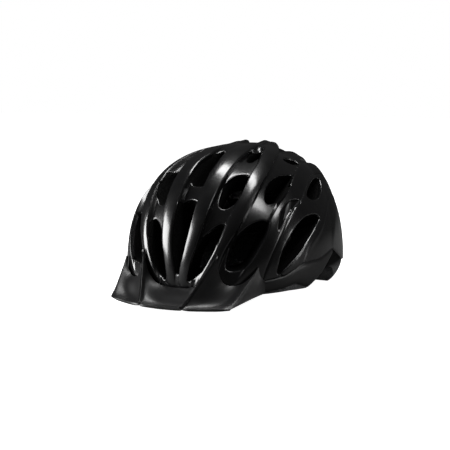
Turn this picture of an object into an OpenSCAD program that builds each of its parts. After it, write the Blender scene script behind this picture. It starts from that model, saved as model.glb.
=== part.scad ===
// Cycling helmet with a snap-on visor, foam liner, straps and a dial-adjusted rear cradle.
// +Z is up, the front faces -Y and the wearer's left is +X.
// The origin is on the rest plane, below the crown.

/* [Dome] */
// Half of the width across the temples
half_width = 103; // [102:0.5:104]
// Crown axis to the brow
front_length = 133; // [132:0.5:134]
// Crown axis to the back
rear_length = 145; // [143:0.5:147]
// Height of the crown above the widest level
dome_height = 122; // [120:0.5:124]
// Height of the widest level above the rest plane
equator_z = 25; // [25:0.1:25.4]
// Roundness exponent, where 2 is an ellipse and more is boxier
fullness = 2.27; // [2.2:0.01:2.35]
// How quickly the sides draw in below the widest level
skirt_depth = 44; // [42:1:60]

/* [Walls] */
// Thickness of the moulded shells
shell_wall = 1.2; // [0.8:0.1:1.4]
// Outer shell to the inside of the foam
liner_inset = 27; // [26:0.5:28]
// Depth of the air channels between the ribs
channel_depth = 5; // [3:0.5:6]
// How far the raised lip behind the crown stands above the dome
lip_rise = 7.5; // [5:0.5:8]
// Gap between bonded layers
bond_gap = 0.05; // [0.04:0.01:0.1]

/* [Pads] */
// Thickness of the comfort pads
pad_thickness = 6; // [4:0.5:6.5]
// Thickness of the hook discs behind the pads
disc_thickness = 0.9; // [0.6:0.1:1]

/* [Visor] */
// How far the lip stands in front of the brow
visor_reach = 33; // [28:1:36]
// Height of the lip above the rest plane
visor_lip_z = 9; // [8:0.5:11]
// Thickness of the visor plate
visor_wall = 2.2; // [1.8:0.1:2.4]
// Radius of the snap pins
visor_pin_r = 2.5; // [2:0.1:2.6]
// Radius of the grommets that take the pins
grommet_r = 4.5; // [4.2:0.1:4.6]

/* [Rear cradle] */
// Mid radius of the cradle band
band_r = 70; // [70:0.1:70.2]
// Centre of the band's arc along the helmet
band_y = 22; // [21.8:0.1:22.2]
// Height of the dial axis
dial_z = 27; // [26.8:0.1:27.2]
// Radius of the dial
dial_r = 12.5; // [10:0.5:12.5]
// Teeth on the pinion, all of which are drawn
pinion_teeth = 10; // [10:1:10]
// Gear module of the pinion and both racks
gear_module = 0.8; // [0.8:0.1:0.8]

/* [Straps] */
// Width of the webbing
webbing_w = 16; // [14:0.5:16]
// Thickness of the webbing
webbing_t = 1.4; // [1:0.1:1.5]

/* [Buckle] */
// Height of the stowed buckle
buckle_z = 96; // [95:0.5:97]
// Length of the socket
socket_l = 26; // [24:1:28]
// Width of the socket and plug
buckle_w = 26; // [25:0.5:28]
// Thickness of the buckle
buckle_t = 9; // [8:0.5:10]

/* [Hidden] */
tiny = 0.01;
far = 400;

// Lane lines of the relief: [angle along the dome from the brow, angle away from the centre plane]
centre_edge = [[0, 0.8], [20, 3.4], [45, 4.6], [70, 3], [100, 3.5], [180, 4]];
rib1_outer = [[0, 5.6], [20, 9], [50, 12], [72, 11.8], [88, 9], [100, 6.2], [180, 8]];
rib2_inner = [[0, 10.8], [20, 20], [40, 24.9], [55, 24.7], [70, 22.3], [100, 10.8], [111, 9.4], [180, 14]];
rib2_outer = [[0, 17], [14, 22.4], [31, 29.9], [52, 31.7], [68, 29.8], [98, 19.7], [111, 12.5], [120, 15],
    [180, 22]];
rib3_inner = [[0, 29], [6, 33.5], [17, 39.6], [30, 43], [56, 46.5], [76, 43.1], [104, 34.3], [180, 26]];
crease = [[0, 43], [15, 48], [38, 52.9], [63, 54.2], [78, 51.4], [95, 45.9], [140, 38], [180, 34]];
rear_crease = [[0, 66], [28, 71.2], [59, 73.3], [93, 68.5], [124, 55], [180, 44]];
edge_step = 1.2;

// Depth along each lane, as a share of the channel depth
channel_share = [[-4, 0], [3, 0.3], [14, 1], [92, 1], [119, 0.25], [180, 0.4]];
centre_share = [[-4, 0], [4, 0.3], [14, 1], [60, 1], [80, 0.1], [96, 0], [112, 0.5], [180, 0.5]];
// Height of the lip as a share of its rise, and how far the channel beside it is filled
lip_share = [[92, 0], [103, 0.3], [109.5, 1], [111, 1], [112.6, 0]];
fill_share = [[90, 0], [96, 1], [111, 1], [112.6, 0]];
// How far the back stands inside the plain dome along the helmet
rear_inset = [[112, 0], [118, -2.2], [124, -4.6], [135, -2.5], [150, 2], [160, 4], [175, 2.5], [200, 0]];

// Vent outlines on the left side: [angle along the dome, angle away from the centre plane]
centre_vents = [
    [[4, 0], [12, 2], [24, 3.8], [32, 3.2], [33.5, 0]],
    [[41, 0], [42.5, 3.4], [57, 4], [68.5, 2], [71.5, 0]]];
side_vents = [
    [[1.5, 5.2], [8, 6.4], [19.5, 11.4], [25.5, 17.5], [25.5, 20.8], [14, 17.4], [6, 12]],
    [[34, 15.4], [46, 14.2], [54, 16.6], [57.5, 22.4], [50, 24.4], [37, 22.8]],
    [[70, 15], [76, 13], [89, 12], [92.5, 13.6], [80, 17], [72, 17]],
    [[6.5, 25], [12, 24.5], [24, 30.5], [33.8, 41], [31, 43.8], [19.8, 41.8], [8, 34.5]],
    [[46, 38.2], [54, 35.4], [70, 35.6], [82, 39.6], [70, 43.6], [52, 44.5]],
    [[97, 25.6], [101, 24], [108.5, 26.4], [107, 31], [98, 30.8]],
    [[4.5, 52.5], [22, 55], [45, 60], [76, 66.5], [74, 69], [50, 70.3], [27, 67], [10, 59]],
    [[75, 55], [85, 51.3], [102, 46.7], [114.5, 44.4], [112, 50], [95, 58], [80, 58]],
    [[115, 8], [116.5, 14], [124.5, 14.5], [128, 9.5], [121, 7]],
    [[117, 25], [121, 31], [133, 30], [137, 24], [127, 22]],
    [[159, 12.5], [161, 19.5], [168, 19], [170, 12.5]],
    [[136, 42], [142, 47.5], [152, 47], [156, 41.5], [150, 37.5], [141, 38]],
    [[162, 41], [165, 46], [172, 45.5], [175, 40.5], [170, 37], [164, 37.5]]];
emblem_outline = [[61, 53], [58, 50.5], [47, 47.5], [32, 49], [30, 50.2], [40, 52]];

// Side outlines, [along the helmet, up]
band_line = [[-180, 20], [-112, 20], [-99, 26.7], [-79, 28], [-57, 37.5], [-23, 37.5], [12, 42]];
rear_line = [[40, 31], [70, 22], [100, 16], [118, 18], [180, 19]];
band_rim = [[-180, 16], [-112, 15], [-96, 14.2], [-65, 19], [-41, 11], [13, 39.5]];
foam_rim = [[-180, 16.5], [-112, 14], [-96, 12.5], [-70, 12.5], [-41, 10.5], [-16, 24.5], [0, 25.6],
    [14, 22], [28, 11], [44, 1], [50, 0], [92, 0], [104, 5], [120, 16], [180, 17]];

// Rows of the dome, from the front skirt over the crown to the rear skirt
relief_rows = concat([for (v = [-36:6:90]) v], [96, 103, 109.5, 111, 112.6], [for (v = [119:7:217]) v]);
plain_rows = [for (v = [-46:9:226]) v];
plain_columns = [for (w = [-80:10:80]) w];

function signed_pow(s, e) = sign(s) * pow(abs(s), e);
function bow(v, inset) = 1 / pow(
    pow(abs(cos(v)) / ((cos(v) > 0 ? front_length : rear_length) - inset), fullness)
    + pow(abs(sin(v)) / ((sin(v) > 0 ? dome_height : skirt_depth + inset) - inset), fullness),
    1 / fullness);
// A point on the dome: v runs from the brow over the crown, w from the centre plane to the ears
function dome_point(v, w, inset) =
    let (t = bow(v, inset) * pow(cos(w), 2 / fullness))
    [(half_width - inset) * signed_pow(sin(w), 2 / fullness), -t * cos(v), equator_z + t * sin(v)];
function dome_y(x, z, out) = -(front_length + out) * pow(max(0, 1
    - pow(abs(x) / (half_width + out), fullness)
    - pow(abs(z - equator_z) / (dome_height + out), fullness)), 1 / fullness);

function relief_half(v) =
    let (c = lookup(v, centre_edge), channel = channel_depth * lookup(v, channel_share),
        lip = lip_rise * lookup(v, lip_share), fill = lookup(v, fill_share), back = lookup(v, rear_inset),
        middle = back + channel_depth * lookup(v, centre_share) - 0.9 * lip,
        first = back + channel * (1 - fill) - 0.9 * lip,
        a = lookup(v, rib1_outer), b = lookup(v, rib2_inner), d = lookup(v, rib2_outer),
        e = lookup(v, rib3_inner), f = lookup(v, crease), g = lookup(v, rear_crease))
    [[c * 0.7, middle], [c, back - 0.9 * lip], [a, back - lip], [a + edge_step, first],
        [b - edge_step, first], [b, back - lip], [(b + d) / 2, back - 0.8 * lip], [d, back - 0.3 * lip],
        [d + edge_step, back + channel], [e - edge_step, back + channel], [e, 0.9 * back], [f, 0.7 * back],
        [(f + g) / 2, 0.45 * back], [g, 0.2 * back], [82, 0]];
function relief_row(v) =
    let (half = relief_half(v), last = len(half) - 1)
    concat([for (i = [last:-1:0]) [-half[i][0], half[i][1]]], half);

// A solid between the dome at the given rows and the ear-to-ear axis
module fan(rows, table, inset) {
    n = len(table[0]);
    m = len(rows);
    poles = [for (s = [-1, 1]) [s * (half_width - inset), 0, equator_z]];
    skin = [for (i = [0:m - 1]) for (c = table[i]) dome_point(rows[i], c[0], inset + c[1])];
    function at(i, j) = 2 + i * n + j;
    polyhedron(
        points = concat(poles, skin),
        faces = concat(
            [for (i = [0:m - 2]) for (j = [0:n - 2]) [at(i + 1, j), at(i, j + 1), at(i, j)]],
            [for (i = [0:m - 2]) for (j = [0:n - 2]) [at(i + 1, j), at(i + 1, j + 1), at(i, j + 1)]],
            [for (i = [0:m - 2]) [at(i + 1, 0), at(i, 0), 0]],
            [for (i = [0:m - 2]) [at(i, n - 1), at(i + 1, n - 1), 1]],
            [concat([1, 0], [for (j = [0:n - 1]) at(0, j)])],
            [concat([0, 1], [for (j = [n - 1:-1:0]) at(m - 1, j)])]));
}

// A plate between two sheets of points, each a list of equal rows, the outer one seen in order
module plate(outer, inner) {
    m = len(outer);
    n = len(outer[0]);
    all = m * n;
    skin = [for (sheet = [outer, inner]) for (row = sheet) for (p = row) p];
    cells = [for (i = [0:m - 2]) for (j = [0:n - 2]) i * n + j];
    rim = concat([for (j = [0:n - 2]) j], [for (i = [0:m - 2]) i * n + n - 1],
        [for (j = [n - 1:-1:1]) (m - 1) * n + j], [for (i = [m - 1:-1:1]) i * n]);
    sides = [for (k = [0:len(rim) - 1]) [rim[k], rim[(k + 1) % len(rim)]]];
    polyhedron(
        points = skin,
        faces = concat(
            [for (c = cells) [c + n, c + 1, c]],
            [for (c = cells) [c + n, c + n + 1, c + 1]],
            [for (c = cells) [all + c, all + c + 1, all + c + n]],
            [for (c = cells) [all + c + 1, all + c + n + 1, all + c + n]],
            [for (e = sides) [e[0], e[1], all + e[0]]],
            [for (e = sides) [e[1], all + e[1], all + e[0]]]));
}

module relief_dome(inset) {
    fan(relief_rows, [for (v = relief_rows) relief_row(v)], inset);
}

module plain_dome(inset) {
    fan(plain_rows, [for (v = plain_rows) [for (w = plain_columns) [w, 0]]], inset);
}

module both_sides() {
    children();
    mirror([1, 0, 0]) children();
}

// Extrudes a side outline right across the helmet
module across(outline) {
    translate([-far / 2, 0, 0]) rotate([90, 0, 90]) linear_extrude(far) polygon(outline);
}

// A plug through the wall, following an outline on the dome
module dome_plug(outline, outer, inner) {
    hull() for (p = outline) for (inset = [outer, inner])
        translate(dome_point(p[0], p[1], inset)) cube(tiny, center = true);
}

module vent_plugs() {
    for (outline = centre_vents)
        dome_plug(concat(outline, [for (p = outline) [p[0], -p[1]]]), -12, 48);
    for (outline = side_vents) both_sides() dome_plug(outline, -12, 48);
}

module upper_shell() {
    color("#17181a") difference() {
        relief_dome(0);
        relief_dome(shell_wall);
        vent_plugs();
        both_sides() dome_plug(emblem_outline, -3, 3);
        across(concat(band_line, rear_line, [[180, -80], [-180, -80]]));
        visor_holes(grommet_r + 0.1);
    }
}

// A point on the dome at a height and a plan angle, measured from the front
function level_point(angle, z, inset) =
    let (s = pow(1 - pow(abs(z - equator_z) / (z > equator_z ? dome_height : skirt_depth), fullness),
        1 / fullness))
    [(half_width - inset) * s * signed_pow(sin(angle), 2 / fullness),
        -(front_length - inset) * s * pow(max(0, cos(angle)), 2 / fullness)
            + (rear_length - inset) * s * pow(max(0, -cos(angle)), 2 / fullness), z];

function band_row(angle, inset) =
    let (y = level_point(angle, equator_z, 0)[1], top = lookup(y, band_line) - 0.2,
        bottom = lookup(y, band_rim))
    [for (f = [1, 0.5, 0]) level_point(angle, bottom + (top - bottom) * f, inset)];

band_proud = 0.5;

module lower_shell() {
    angles = [for (i = [-18:18]) 5.15 * i];
    color("#26272a") difference() {
        plate([for (a = angles) band_row(a, -band_proud)],
            [for (a = angles) band_row(a, shell_wall - band_proud)]);
        visor_holes(grommet_r + 0.1);
    }
}

module foam_liner() {
    color("#3a3b3d") difference() {
        relief_dome(shell_wall + bond_gap);
        plain_dome(liner_inset);
        vent_plugs();
        across(concat(foam_rim, [[180, -80], [-180, -80]]));
        visor_holes(grommet_r + 0.1);
        for (s = [-1, 1]) temple_hole(s, 5.1, 79.2);
        both_sides() anchor_sites() cube([12, 20.2, 7.2], center = true);
    }
}

module emblem_plates() {
    color("#3f4144") both_sides() difference() {
        intersection() {
            plain_dome(-0.5);
            hull() for (p = emblem_outline) for (inset = [-3, 3])
                translate(dome_point(46 + (p[0] - 46) * 0.93, 50.3 + (p[1] - 50.3) * 0.86, inset))
                    cube(tiny, center = true);
        }
        plain_dome(0.45);
    }
}

// Visor columns from the centre to the arm: [across, up] on the top edge, [across, back] on the lip
visor_top = [[0, 20], [12, 20.4], [22, 23], [30, 31], [35.5, 43], [39, 52.5], [42, 36], [46.5, 26.5],
    [54, 24], [62, 27], [68, 33], [72, 39.5], [74.6, 31], [77, 26]];
visor_lip = [[0, 0], [8, 0.4], [15, 1], [21, 2], [25, 2.7], [28, 3.4], [32, 4.6], [37, 6.3],
    [43, 8.8], [51, 12.2], [58, 15.5], [64, 19], [71, 46], [77, 66]];
ridge_share = [0.5, 0.6, 0.6, 0.4, 0.1, 0, 0.3, 0.8, 1, 0.8, 0.4, 0, 0, 0];
visor_rows = 5;
visor_hollow = 4;
// Snap pins: [across, up, length in front of the grommet]
pin_sites = [[48, 21, 8.8], [72, 20, 10.5]];
pin_depth = 9;

function visor_edge(i) =
    let (x = visor_top[i][0], z = visor_top[i][1]) [x, dome_y(x, z, visor_wall + 0.3), z];
function visor_tip(i) =
    let (x = visor_lip[i][0], back = visor_lip[i][1],
        z = visor_lip_z + visor_wall + 0.09 * max(0, back - 20), y = back - front_length - visor_reach)
    [x, min(y, dome_y(x, z, visor_wall + 0.4)), z];
function visor_face(i, k) =
    let (f = k / visor_rows, hollow = visor_hollow * ridge_share[i] * sin(180 * f))
    visor_edge(i) * (1 - f) + visor_tip(i) * f + [0, hollow * 0.5, -hollow * 0.6];
function unit(v) = v / norm(v);
function sheet_normal(sheet, i, k) =
    let (rows = len(sheet) - 1, columns = len(sheet[0]) - 1,
        along = sheet[min(i + 1, rows)][k] - sheet[max(i - 1, 0)][k],
        down = sheet[i][min(k + 1, columns)] - sheet[i][max(k - 1, 0)])
    unit(cross(down, along));
function sheet_behind(sheet, thickness) = [for (i = [0:len(sheet) - 1]) [for (k = [0:len(sheet[0]) - 1])
    sheet[i][k] - thickness * sheet_normal(sheet, i, k)]];
function mirrored(row) = [for (p = row) [-p[0], p[1], p[2]]];
function visor_sheet() =
    let (half = [for (i = [0:len(visor_top) - 1]) [for (k = [0:visor_rows]) visor_face(i, k)]])
    concat([for (i = [len(half) - 1:-1:1]) mirrored(half[i])], half);

// Places children at each pin, with +Z pointing into the brow from the grommet's face
module at_pins() {
    for (s = [-1, 1]) for (p = pin_sites)
        translate([s * p[0], dome_y(p[0] + grommet_r, p[1], -0.5), p[1]]) rotate([-90, 0, 0]) children();
}

module visor_holes(r) {
    translate([0, -20, 0]) at_pins() cylinder(r = r, h = 20 + pin_depth + 1.4, $fn = 48);
}

module visor() {
    front = visor_sheet();
    color("#2b2c2f") {
        plate(front, sheet_behind(front, visor_wall));
        for (s = [-1, 1]) for (p = pin_sites)
            translate([s * p[0], dome_y(p[0] + grommet_r, p[1], -0.5) - p[2], p[1]]) rotate([-90, 0, 0])
                cylinder(r = visor_pin_r, h = p[2] + pin_depth - 1, $fn = 48);
    }
}

module visor_grommets() {
    color("#101113") at_pins() difference() {
        cylinder(r = grommet_r, h = pin_depth, $fn = 48);
        translate([0, 0, -1]) cylinder(r = visor_pin_r + 0.06, h = pin_depth + 2, $fn = 48);
    }
}

// A curved pad under the dome: a rounded patch about [v, w] with its half sizes in degrees
function patch_point(centre, half, roundness, s, t, inset) = dome_point(
    centre[0] + half[0] * s * sqrt(1 - roundness * t * t / 2),
    centre[1] + half[1] * t * sqrt(1 - roundness * s * s / 2), inset);

module patch(centre, half, outer, thickness, roundness, n) {
    steps = [for (i = [0:n]) 2 * i / n - 1];
    function sheet(inset) = [for (s = steps) [for (t = steps)
        patch_point(centre, half, roundness, s, t, inset)]];
    plate(sheet(outer), sheet(outer + thickness));
}

pad_outer = liner_inset + disc_thickness + 1;
disc_outer = liner_inset + 0.85;
side_pad_at = [48, 54];
rear_pad_at = [136, 54];
side_pad_half = [17, 8];
disc_half = [4, 4];

module pad(centre, half) {
    color("#1b1c1e") patch(centre, half, pad_outer, pad_thickness, 0.55, 6);
}

module brow_pad() {
    pad([1.5, 0], [4.2, 40]);
}

module crown_pad() {
    pad([90, 0], [24, 16]);
}

module side_pad_left() {
    pad(side_pad_at, side_pad_half);
}

module side_pad_right() {
    pad([side_pad_at[0], -side_pad_at[1]], side_pad_half);
}

module rear_pad_left() {
    pad(rear_pad_at, side_pad_half);
}

module rear_pad_right() {
    pad([rear_pad_at[0], -rear_pad_at[1]], side_pad_half);
}

module hook_discs() {
    color("#0c0d0e") {
        for (s = [-1, 1]) for (c = [side_pad_at, rear_pad_at])
            patch([c[0], s * c[1]], disc_half, disc_outer, disc_thickness, 1, 4);
        for (v = [76, 104]) patch([v, 0], disc_half, disc_outer, disc_thickness, 1, 4);
        for (w = [-22, 22]) patch([1.5, w], [3, 4], disc_outer, disc_thickness, 1, 4);
    }
}

// Straps. Each side folds up inside the liner and meets at a divider.
leg_y = [-26, 30];
anchor_x = 76;
anchor_z = 38;
divider_at = [62, 0, 76];
divider_tilt = 22;
divider_w = 36;
divider_l = 24;
divider_t = 5;
divider_up = [-sin(divider_tilt), 0, cos(divider_tilt)];
divider_out = [cos(divider_tilt), 0, sin(divider_tilt)];

module anchor_sites() {
    for (y = leg_y) translate([anchor_x, y, anchor_z]) children();
}

module strap_anchors() {
    color("#141517") both_sides() anchor_sites() difference() {
        cube([6, 20, 7], center = true);
        cube([7, webbing_w + 0.4, webbing_t + 0.4], center = true);
    }
}

// A band of webbing through stations [centre, thickness direction], its width along the helmet
module webbing(stations) {
    n = len(stations);
    corners = [for (s = stations) for (q = [[-1, -1], [1, -1], [1, 1], [-1, 1]])
        s[0] + [0, q[0] * webbing_w / 2, 0] + s[1] * q[1] * webbing_t / 2];
    polyhedron(points = corners, faces = concat(
        [[0, 1, 2, 3], [for (q = [3:-1:0]) 4 * (n - 1) + q]],
        [for (i = [0:n - 2]) for (q = [0:3]) [4 * i + q, 4 * (i + 1) + q, 4 * i + (q + 1) % 4]],
        [for (i = [0:n - 2]) for (q = [0:3])
            [4 * (i + 1) + q, 4 * (i + 1) + (q + 1) % 4, 4 * i + (q + 1) % 4]]));
}

function leg_stations(y) =
    let (side = sign(y) * 8.8, top = divider_at + [0, side, 0])
    [[top - 6 * divider_up, divider_out],
        [top - 13 * divider_up, divider_out],
        [[70.2, side + (y - side) * 0.35, 54], [0.99, 0, 0.14]],
        [[71.3, side + (y - side) * 0.75, 45.5], [1, 0, 0]],
        [[71.4, y, 40.6], [0.9, 0, 0.43]],
        [[72.1, y, 38.5], [0.42, 0, 0.9]],
        [[72.95, y, anchor_z], [0, 0, 1]],
        [[78.5, y, anchor_z], [0, 0, 1]]];

module front_strap_left() {
    color("#202123") webbing(leg_stations(leg_y[0]));
}

module front_strap_right() {
    color("#202123") mirror([1, 0, 0]) webbing(leg_stations(leg_y[0]));
}

module rear_strap_left() {
    color("#202123") webbing(leg_stations(leg_y[1]));
}

module rear_strap_right() {
    color("#202123") mirror([1, 0, 0]) webbing(leg_stations(leg_y[1]));
}

// The stowed chin strap rises from a divider and turns level towards the buckle
turn_r = 12;
turn_steps = 6;
function chin_stations(end_x) =
    let (top = divider_at + 6 * divider_up, lift = 90 - divider_tilt,
        start_z = buckle_z - turn_r * (1 - cos(lift)),
        reach = (start_z - top[2]) / divider_up[2],
        start = top + reach * divider_up,
        hub = start - turn_r * divider_out)
    concat([[top, divider_out]],
        [for (i = [0:turn_steps]) let (a = divider_tilt + lift * i / turn_steps, n = [cos(a), 0, sin(a)])
            [hub + turn_r * n, n]],
        [[[end_x, 0, buckle_z], [0, 0, 1]]]);

module chin_strap_left() {
    color("#202123") webbing(chin_stations(socket_l - 5));
}

// The right strap stops short of the prongs when the plug is drawn out
strap_end = 18.6;

module chin_strap_right() {
    color("#202123") mirror([1, 0, 0]) webbing(chin_stations(strap_end));
}

module strap_keeper() {
    color("#121314") translate([32, 0, buckle_z]) difference() {
        cube([5, webbing_w + 4, webbing_t + 3], center = true);
        cube([6, webbing_w + 0.4, webbing_t + 0.4], center = true);
    }
}

module at_divider() {
    translate(divider_at) rotate([0, -divider_tilt, 0]) children();
}

cam_pin_r = 1.2;
cam_x = -divider_t / 2 - 2.2;
cam_z = 6;

module divider_left() {
    slot_t = webbing_t + 0.5;
    color("#17181a") at_divider() {
        difference() {
            cube([divider_t, divider_w, divider_l], center = true);
            for (s = [-1, 1]) translate([0, s * 8.8, -divider_l / 2])
                cube([slot_t, webbing_w + 0.8, 16], center = true);
            translate([0, 0, divider_l / 2]) cube([slot_t, webbing_w + 0.6, 16], center = true);
        }
        for (s = [-1, 1]) difference() {
            translate([cam_x - 2, s * 11.5 - 1.5, cam_z - 2]) cube([2.1 + 2.1, 3, 4]);
            translate([cam_x, s * 11.5, cam_z]) rotate([90, 0, 0])
                cylinder(r = cam_pin_r + 0.06, h = 8, center = true, $fn = 32);
        }
    }
}

module divider_right() {
    mirror([1, 0, 0]) divider_left();
}

module cam_lever_left() {
    color("#3a3c3f") at_divider() {
        translate([cam_x, 0, cam_z]) rotate([90, 0, 0])
            cylinder(r = cam_pin_r, h = 26, center = true, $fn = 32);
        translate([cam_x - 1.8, -9.7, cam_z - 16]) cube([3.2, 19.4, 16.8]);
    }
}

module cam_lever_right() {
    mirror([1, 0, 0]) cam_lever_left();
}

cavity_l = 15.5;
cavity_t = 4.8;
prong_y = 8.2;

module buckle_socket() {
    color("#17181a") translate([0, 0, buckle_z]) difference() {
        translate([0.4, -buckle_w / 2, -buckle_t / 2]) cube([socket_l, buckle_w, buckle_t]);
        translate([-1, -buckle_w / 2 - 1, -cavity_t / 2]) cube([cavity_l + 1, buckle_w + 2, cavity_t]);
        translate([socket_l - 5.5, -webbing_w / 2 - 0.3, -webbing_t / 2 - 0.3])
            cube([8, webbing_w + 0.6, webbing_t + 0.6]);
    }
}

module buckle_plug() {
    tail_l = 19;
    color("#17181a") translate([0, 0, buckle_z]) difference() {
        union() {
            translate([-tail_l - 1, -buckle_w / 2, -buckle_t / 2]) cube([tail_l, buckle_w, buckle_t]);
            translate([-2, -3, -2]) cube([15, 6, 4]);
        }
        translate([-tail_l - 2, -webbing_w / 2 - 0.4, -webbing_t / 2 - 0.4])
            cube([tail_l - 1, webbing_w + 0.8, webbing_t + 0.8]);
        for (s = [-1, 1]) translate([-3.2, s * prong_y, 0]) cylinder(r = 1.3, h = 5, center = true, $fn = 32);
        for (s = [-1, 1]) translate([-3.2, s * prong_y - 1.7, -2.5]) cube([4, 3.4, 5]);
    }
}

module prong() {
    translate([-3.2, prong_y, buckle_z]) {
        cylinder(r = 1.2, h = 4.2, center = true, $fn = 32);
        translate([0, -1, -2.1]) cube([16, 2, 4.2]);
        translate([0, 0, -2.1]) linear_extrude(4.2)
            polygon([[11, 0], [16, 0], [17.5, 1], [13, 4.2], [11, 4.2]]);
    }
}

module buckle_prong_front() {
    color("#2c2d30") mirror([0, 1, 0]) prong();
}

module buckle_prong_rear() {
    color("#2c2d30") prong();
}

// Rear cradle. Its band is an arc about a vertical line and it swings on two temple pins.
pivot_y = -42;
pivot_z = 27;
pivot_r = 2;
arm_x = 65;
band_t = 2;
belt_t = 1.2;
belt_r = [72 - 0.9, 72 + 0.3];
belt_h = 14;
housing_r = [74, 76];
housing_h = 26;

module temple_hole(s, r, inner_x) {
    translate([s * (inner_x + 60) / 2, pivot_y, pivot_z]) rotate([0, 90, 0])
        cylinder(r = r, h = inner_x - 60, center = true, $fn = 48);
}

module temple_sockets() {
    color("#1c1d1f") for (s = [-1, 1]) difference() {
        translate([s * 73, pivot_y, pivot_z]) rotate([0, 90, 0])
            cylinder(r = 5, h = 12, center = true, $fn = 48);
        temple_hole(s, pivot_r + 0.06, 77);
    }
}

// A piece of band: an arc between two angles, radii and heights
module arc_wall(r, z, from, to) {
    translate([0, band_y, 0]) rotate([0, 0, from]) rotate_extrude(angle = to - from, $fn = 180)
        translate([r[0], z[0]]) square([r[1] - r[0], z[1] - z[0]]);
}

// Places children on a radial line of the band, with +Z pointing outwards
module radial(angle, z) {
    translate([0, band_y, z]) rotate([0, 0, angle]) rotate([0, 90, 0]) children();
}

band_walls = [band_r - band_t / 2, band_r + band_t / 2];
stud_angle = 7;
rail_r = [152.4, 154.4];
rail_half_w = 9;
slot_half_w = 2.6;
screw_angles = [78, 102];
screw_z = [dial_z - 10.4, dial_z + 10.4];

module pivot_line(angle) {
    translate([0, pivot_y, pivot_z]) rotate([angle, 0, 0]) rotate([-90, 0, 0]) children();
}

module cradle() {
    color("#232427") difference() {
        union() {
            arc_wall(band_walls, [dial_z - 6, dial_z + 6], 0, 180);
            arc_wall(band_walls, [dial_z - 20, dial_z + 13], 56, 124);
            both_sides() hull() {
                translate([arm_x, pivot_y, pivot_z]) rotate([0, 90, 0])
                    cylinder(r = 6, h = 1.8, center = true, $fn = 32);
                translate([band_r, band_y, dial_z]) cube([1.8, 0.6, 12], center = true);
            }
            for (s = [-1, 1]) translate([s * 70, pivot_y, pivot_z]) rotate([0, 90, 0])
                cylinder(r = pivot_r, h = 11, center = true, $fn = 48);
            translate([-7, band_y + band_r - 1.6, dial_z + 10]) cube([14, 2.1, 13]);
            pivot_line(stud_angle) translate([0, 0, 134.5]) cylinder(r = 2.2, h = 21, $fn = 32);
            pivot_line(stud_angle) translate([0, 0, 155]) cylinder(r = 4.2, h = 1.5, $fn = 32);
        }
        radial(90, dial_z) cylinder(r = 2.56, h = 90, $fn = 48);
        for (a = [66, 114]) for (z = [dial_z - 14, dial_z - 2])
            radial(a, z) cylinder(r = 4, h = 90, $fn = 32);
        for (a = screw_angles) for (z = screw_z) radial(a, z) cylinder(r = 1.1, h = 90, $fn = 32);
    }
}

module cradle_pads() {
    color("#1b1c1e") for (a = [[52, 80], [100, 128]])
        arc_wall([65.2, band_walls[0] - 0.1], [dial_z - 18, dial_z + 11], a[0], a[1]);
}

module height_rail() {
    color("#2c2d30") difference() {
        intersection() {
            pivot_ring(rail_r[0], rail_r[1], 2 * rail_half_w);
            translate([-20, 90, 23]) cube([40, 40, 46]);
        }
        pivot_slot(0, 14);
    }
    color("#2c2d30") for (a = [-1.2, 15.6]) pivot_line(a)
        translate([-rail_half_w, -1.4, rail_r[1] - 0.1]) cube([2 * rail_half_w, 2.8, a < 0 ? 4 : 1.2]);
}

module pivot_ring(inner, outer, width) {
    translate([0, pivot_y, pivot_z]) rotate([0, 90, 0]) difference() {
        cylinder(r = outer, h = width, center = true, $fn = 180);
        cylinder(r = inner, h = width + 2, center = true, $fn = 180);
    }
}

module pivot_slot(from, to) {
    translate([0, pivot_y, pivot_z]) rotate([from, 0, 0]) rotate([0, 90, 0]) rotate([0, 0, 90])
        translate([0, 0, -slot_half_w])
            rotate_extrude(angle = to - from, $fn = 180)
                translate([rail_r[0] - 2, 0]) square([8, 2 * slot_half_w]);
}

module dial_housing() {
    color("#1c1d1f") difference() {
        union() {
            arc_wall(housing_r, [dial_z - 13, dial_z + 13], 72, 108);
            for (s = [-1, 1]) arc_wall([band_walls[1] + 0.05, housing_r[1]],
                s > 0 ? [dial_z + 7.4, dial_z + 13] : [dial_z - 13, dial_z - 7.4], 72, 108);
        }
        radial(90, dial_z) cylinder(r = 2.56, h = 90, $fn = 48);
        for (a = screw_angles) for (z = screw_z) radial(a, z) cylinder(r = 1.1, h = 90, $fn = 32);
    }
}

module housing_screws() {
    color("#8d9094") for (a = screw_angles) for (z = screw_z) radial(a, z) {
        translate([0, 0, 69.5]) cylinder(r = 1.05, h = 7, $fn = 32);
        translate([0, 0, housing_r[1] + 0.1]) cylinder(r = 2, h = 1.1, $fn = 32);
    }
}

// Racks. One tooth in the pinion's module stands on the window edge of each belt.
pitch_r = gear_module * pinion_teeth / 2;
rack_pitch = 2;

module rack_tooth() {
    polygon([[-0.8, gear_module + 0.35], [-0.2, -gear_module], [0.2, -gear_module],
        [0.8, gear_module + 0.35]]);
}

module belt(r, from, to, side) {
    root = pitch_r + gear_module * 1.25;
    clear_z = pitch_r + gear_module + 0.3;
    difference() {
        arc_wall(r, [dial_z - belt_h / 2, dial_z + belt_h / 2], from, to);
        arc_wall([r[0] - 1, r[1] + 1], side > 0 ? [dial_z - clear_z, dial_z + root]
            : [dial_z - root, dial_z + clear_z], side > 0 ? 77 : 85, side > 0 ? 95 : 103);
    }
    for (k = side > 0 ? [-6:1:1] : [-2:1:5]) radial(90 + rack_pitch * k + 1, dial_z)
        translate([0, 0, r[0] + 0.02]) linear_extrude(r[1] - r[0] - 0.04) rotate([0, 0, side > 0 ? 90 : -90])
            translate([0, pitch_r]) rack_tooth();
}

module belt_left() {
    color("#2a2b2e") belt(belt_r, 28, 101, 1);
}

module belt_right() {
    color("#2a2b2e") belt([belt_r[0] + belt_t + 0.2, belt_r[1] + belt_t + 0.2], 79, 152, -1);
}

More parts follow.
